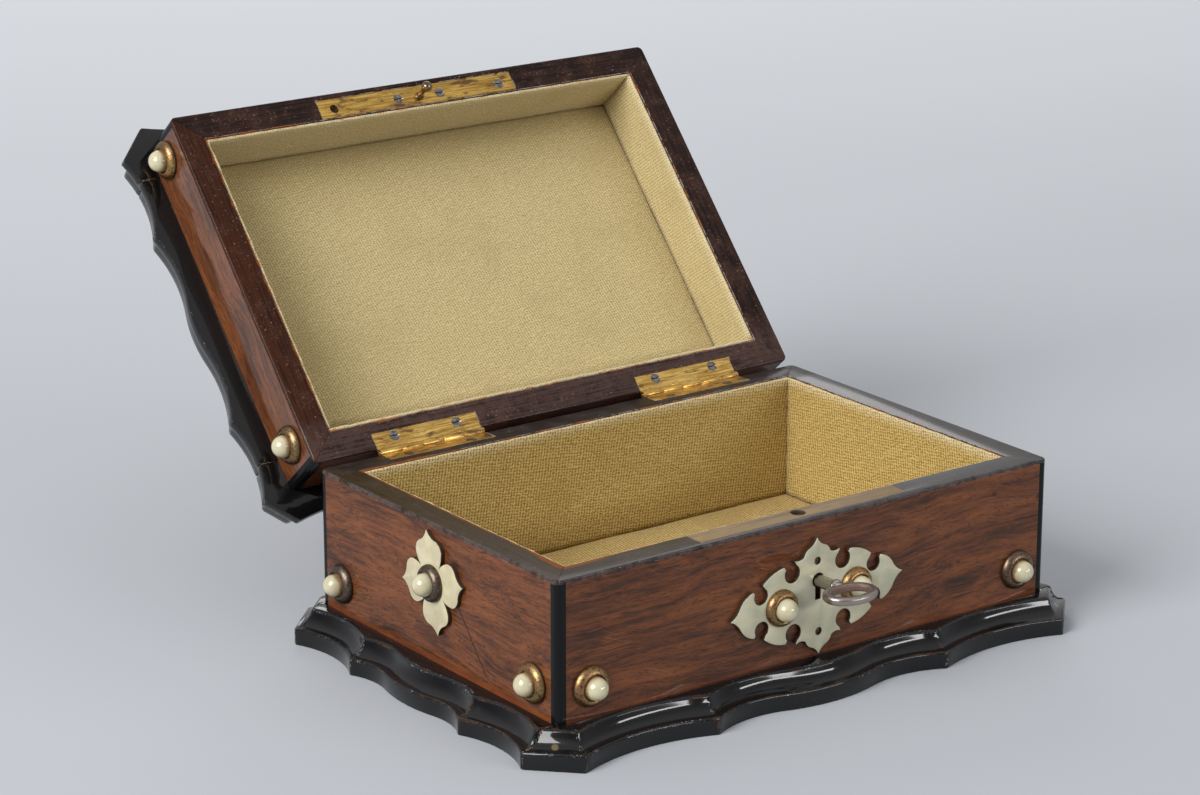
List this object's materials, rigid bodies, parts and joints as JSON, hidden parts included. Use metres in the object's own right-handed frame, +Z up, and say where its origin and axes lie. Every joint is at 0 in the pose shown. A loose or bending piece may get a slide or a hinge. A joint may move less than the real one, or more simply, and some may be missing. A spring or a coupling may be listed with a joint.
{
  "type": "glove box",
  "caption": "Small veneered box with a lid hinged at the back, scalloped black mouldings round foot and lid, a fretted bone escutcheon, bone studs in brass collars, and a lock with its key.",
  "frame": {"origin": "centre of the case's footprint, on the surface that the box stands on", "axes": "+X to the right along the front, +Y to the back where the lid hangs open, +Z up"},
  "size_m": [0.27, 0.3312, 0.1929],
  "materials": {
    "ebonised": "ebonised and polished to a deep gloss, worn brown at the edges",
    "rosewood": "rosewood veneer under old varnish, with dark streaks",
    "rim_wood": "stained lipping, satin, scuffed to bare wood at its edges",
    "carcass_wood": "bare pale wood, hidden by veneer and lining",
    "strip_wood": "bare pale hardwood with a pinkish line",
    "lining": "woven beige lining glued on card, stained in places",
    "bone": "polished bone, cream, a little yellowed",
    "collar_brass": "brass gone brown in its recess",
    "hinge_brass": "brass, dull, with brown stains",
    "lock_brass": "sheet brass, plain",
    "screw_steel": "plain steel, dulled",
    "spring_steel": "blued spring steel",
    "key_steel": "nickelled steel, tarnished, rusty in the bow"
  },
  "bodies": {
    "box": {"base_board": "carcass_wood", "base_moulding_back": "ebonised", "base_moulding_front": "ebonised", "base_moulding_sides": "ebonised", "corner_strips": "ebonised", "escutcheon": "bone", "escutcheon_pins": "collar_brass", "hinge_body_leaf_left": "hinge_brass", "hinge_body_leaf_right": "hinge_brass", "hinge_body_screws": "screw_steel", "hinge_pins": "screw_steel", "lining_back": "lining", "lining_floor": "lining", "lining_front": "lining", "lining_sides": "lining", "lock_back_plate": "lock_brass", "lock_case": "lock_brass", "lock_drill_pin": "lock_brass", "lock_screws": "screw_steel", "lock_spring": "spring_steel", "lock_strip": "strip_wood", "quatrefoils": "bone", "rim_lipping": "rim_wood", "stud_beads": "bone", "stud_collars": "collar_brass", "veneer_back": "rosewood", "veneer_front": "rosewood", "veneer_sides": "rosewood", "wall_back": "carcass_wood", "wall_front": "carcass_wood", "wall_sides": "carcass_wood"},
    "lid": {"hinge_lid_leaf_left": "hinge_brass", "hinge_lid_leaf_right": "hinge_brass", "hinge_lid_screws": "screw_steel", "lid_corner_strips": "ebonised", "lid_lining_back": "lining", "lid_lining_front": "lining", "lid_lining_sides": "lining", "lid_lining_top": "lining", "lid_moulding_back": "ebonised", "lid_moulding_front": "ebonised", "lid_moulding_sides": "ebonised", "lid_rim_lipping": "rim_wood", "lid_stud_beads": "bone", "lid_stud_collars": "collar_brass", "lid_top_board": "carcass_wood", "lid_top_veneer": "rosewood", "lid_veneer_back": "rosewood", "lid_veneer_front": "rosewood", "lid_veneer_sides": "rosewood", "lid_wall_back": "carcass_wood", "lid_wall_front": "carcass_wood", "lid_wall_sides": "carcass_wood", "strike_pin": "hinge_brass", "strike_plate": "hinge_brass", "strike_screws": "screw_steel"},
    "key": {"key": "key_steel"},
    "bolt": {"lock_bolt": "lock_brass"}
  },
  "joints": [
    {"name": "lid_hinge", "type": "hinge", "parent": "box", "child": "lid", "pos_m": [0, 0.0818, 0.07015], "axis": [1, 0, 0], "range_deg": [0, 131.5]},
    {"name": "key_turn", "type": "hinge", "parent": "box", "child": "key", "pos_m": [0.001, -0.08, 0.045], "axis": [0, -1, 0], "range_deg": [0, 90]},
    {"name": "bolt_slide", "type": "slide", "parent": "box", "child": "bolt", "axis": [1, 0, 0], "range_m": [0, 0.0065]}
  ],
  "couplings": [
    {"joint": "bolt_slide", "follows": "key_turn", "m_per_rad": 0.004138}
  ]
}
